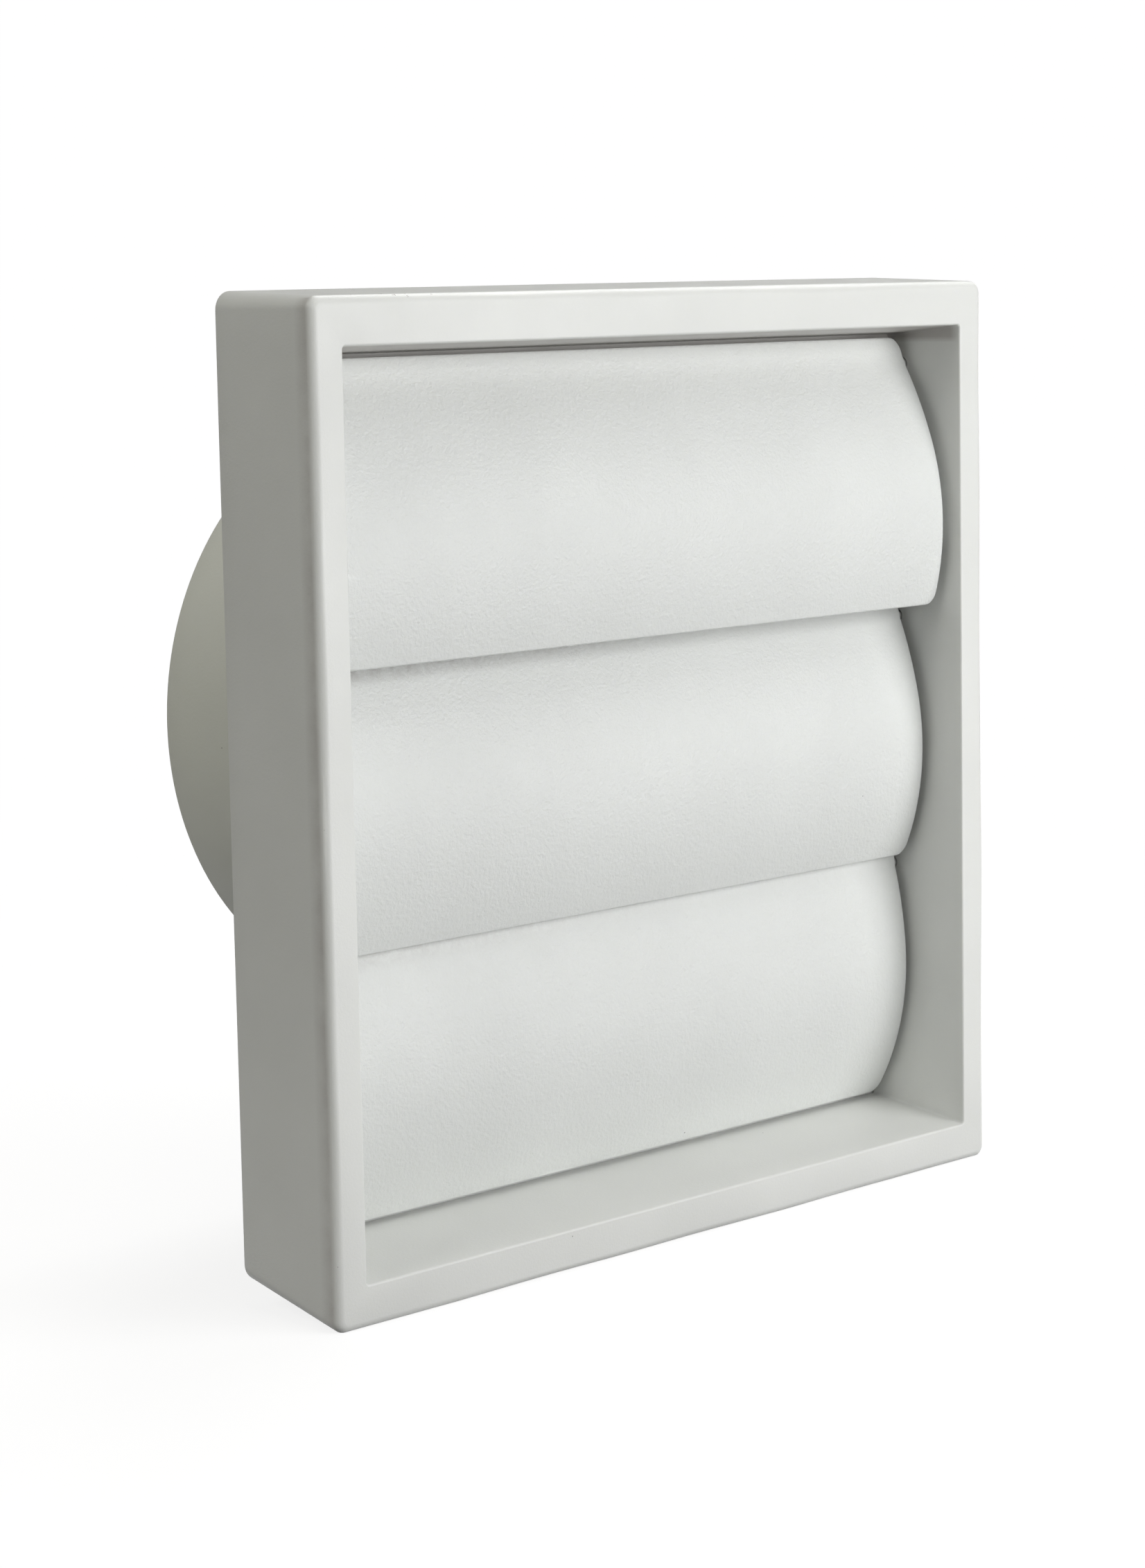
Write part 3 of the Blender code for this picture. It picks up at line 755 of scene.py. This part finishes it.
def make_stage():
    """A pale floor that fades out round the object, inside a white dome that only the camera sees."""
    builder = bmesh.new()
    bmesh.ops.create_circle(builder, cap_ends=True, segments=96, radius=FLOOR_RADIUS)
    floor = add_object("floor", builder)
    floor.location = (0.0, 0.0, CAD_LOW.z)
    floor.data.materials.append(floor_material())
    floor.visible_diffuse = False
    builder = bmesh.new()
    bmesh.ops.create_icosphere(builder, subdivisions=4, radius=DOME_RADIUS)
    dome = add_object("dome", builder)
    dome.data.materials.append(glow("dome_white", 1.0))
    dome.visible_diffuse = False
    dome.visible_glossy = False
    dome.visible_shadow = False
    dome.visible_transmission = False


def glow(name, strength):
    made = bpy.data.materials.new(name)
    made.use_nodes = True
    shader = made.node_tree.nodes["Principled BSDF"]
    shader.inputs["Base Color"].default_value = (0.0, 0.0, 0.0, 1.0)
    shader.inputs["Emission Color"].default_value = (1.0, 1.0, 1.0, 1.0)
    shader.inputs["Emission Strength"].default_value = strength
    return made


def floor_material():
    made = Nodes("floor_white")
    made.shader.inputs["Base Color"].default_value = FLOOR_SHADE
    made.shader.inputs["Roughness"].default_value = FLOOR_ROUGHNESS
    made.shader.inputs["Specular IOR Level"].default_value = 0.0
    made.shader.inputs["Emission Color"].default_value = (1.0, 1.0, 1.0, 1.0)
    made.shader.inputs["Emission Strength"].default_value = FLOOR_GLOW
    distance = made.add("ShaderNodeVectorMath", {0: made.place}, operation="LENGTH").outputs["Value"]
    fade = made.add("ShaderNodeMapRange", {"Value": distance}, interpolation_type="SMOOTHSTEP")
    fade.inputs["From Min"].default_value, fade.inputs["From Max"].default_value = FLOOR_FADE
    fade.inputs["To Min"].default_value, fade.inputs["To Max"].default_value = 1.0, 0.0
    made.drive("Alpha", fade.outputs["Result"])
    return made.material


def look_at(obj, target):
    obj.rotation_euler = (Vector(target) - obj.location).to_track_quat("-Z", "Y").to_euler()


def make_camera():
    data = bpy.data.cameras.new("camera")
    data.lens = CAMERA_LENS
    data.sensor_width = SENSOR
    data.clip_start, data.clip_end = NEAREST_SEEN, FURTHEST_SEEN
    camera = bpy.data.objects.new("camera", data)
    camera.location = CAMERA_PLACE
    camera.rotation_euler = Euler([math.radians(angle) for angle in CAMERA_TURN], "XYZ")
    bpy.context.scene.collection.objects.link(camera)
    bpy.context.scene.camera = camera


def make_lights():
    for name, place, size, power, colour in LIGHTS:
        data = bpy.data.lights.new(name, "AREA")
        data.shape = "RECTANGLE"
        data.size, data.size_y = size
        data.energy = power
        data.color = colour
        light = bpy.data.objects.new(name, data)
        light.location = place
        look_at(light, LIGHT_TARGET)
        bpy.context.scene.collection.objects.link(light)
    world = bpy.data.worlds.new("studio")
    world.use_nodes = True
    background = world.node_tree.nodes["Background"]
    background.inputs["Color"].default_value = WORLD_COLOUR
    background.inputs["Strength"].default_value = WORLD_STRENGTH
    bpy.context.scene.world = world
    bpy.context.scene.view_settings.view_transform = "Standard"


noise.seed_set(WARP_SEED)
make_camera()
SATIN = white_plastic("surround_white", (0.803, 0.812, 0.786), 0.42, 0.45 * MM, 0.03 * MM, surround_marks_and_shade)
MATT = white_plastic("plate_white", (0.79, 0.80, 0.78), 0.5, 0.5 * MM, 0.03 * MM)
OFF_WHITE = white_plastic("spigot_white", (0.78, 0.79, 0.72), 0.5, 0.45 * MM, 0.03 * MM)
GRAINED = white_plastic("flap_white", (0.79, 0.806, 0.788), 0.45, 0.65 * MM, 0.17 * MM, lip_dust_and_shade)
GREY = white_plastic("pin_grey", (0.60, 0.61, 0.59), 0.5, 0.4 * MM, 0.02 * MM)
make_surround(SATIN)
make_plate(MATT)
make_spigot(OFF_WHITE)
for flap_name in FLAP_REST:
    make_flap(flap_name, GRAINED)
for node_name, node in frame["nodes"].items():
    if node_name.startswith("pin_"):
        node.data.materials.clear()
        node.data.materials.append(GREY)
make_stage()
make_lights()
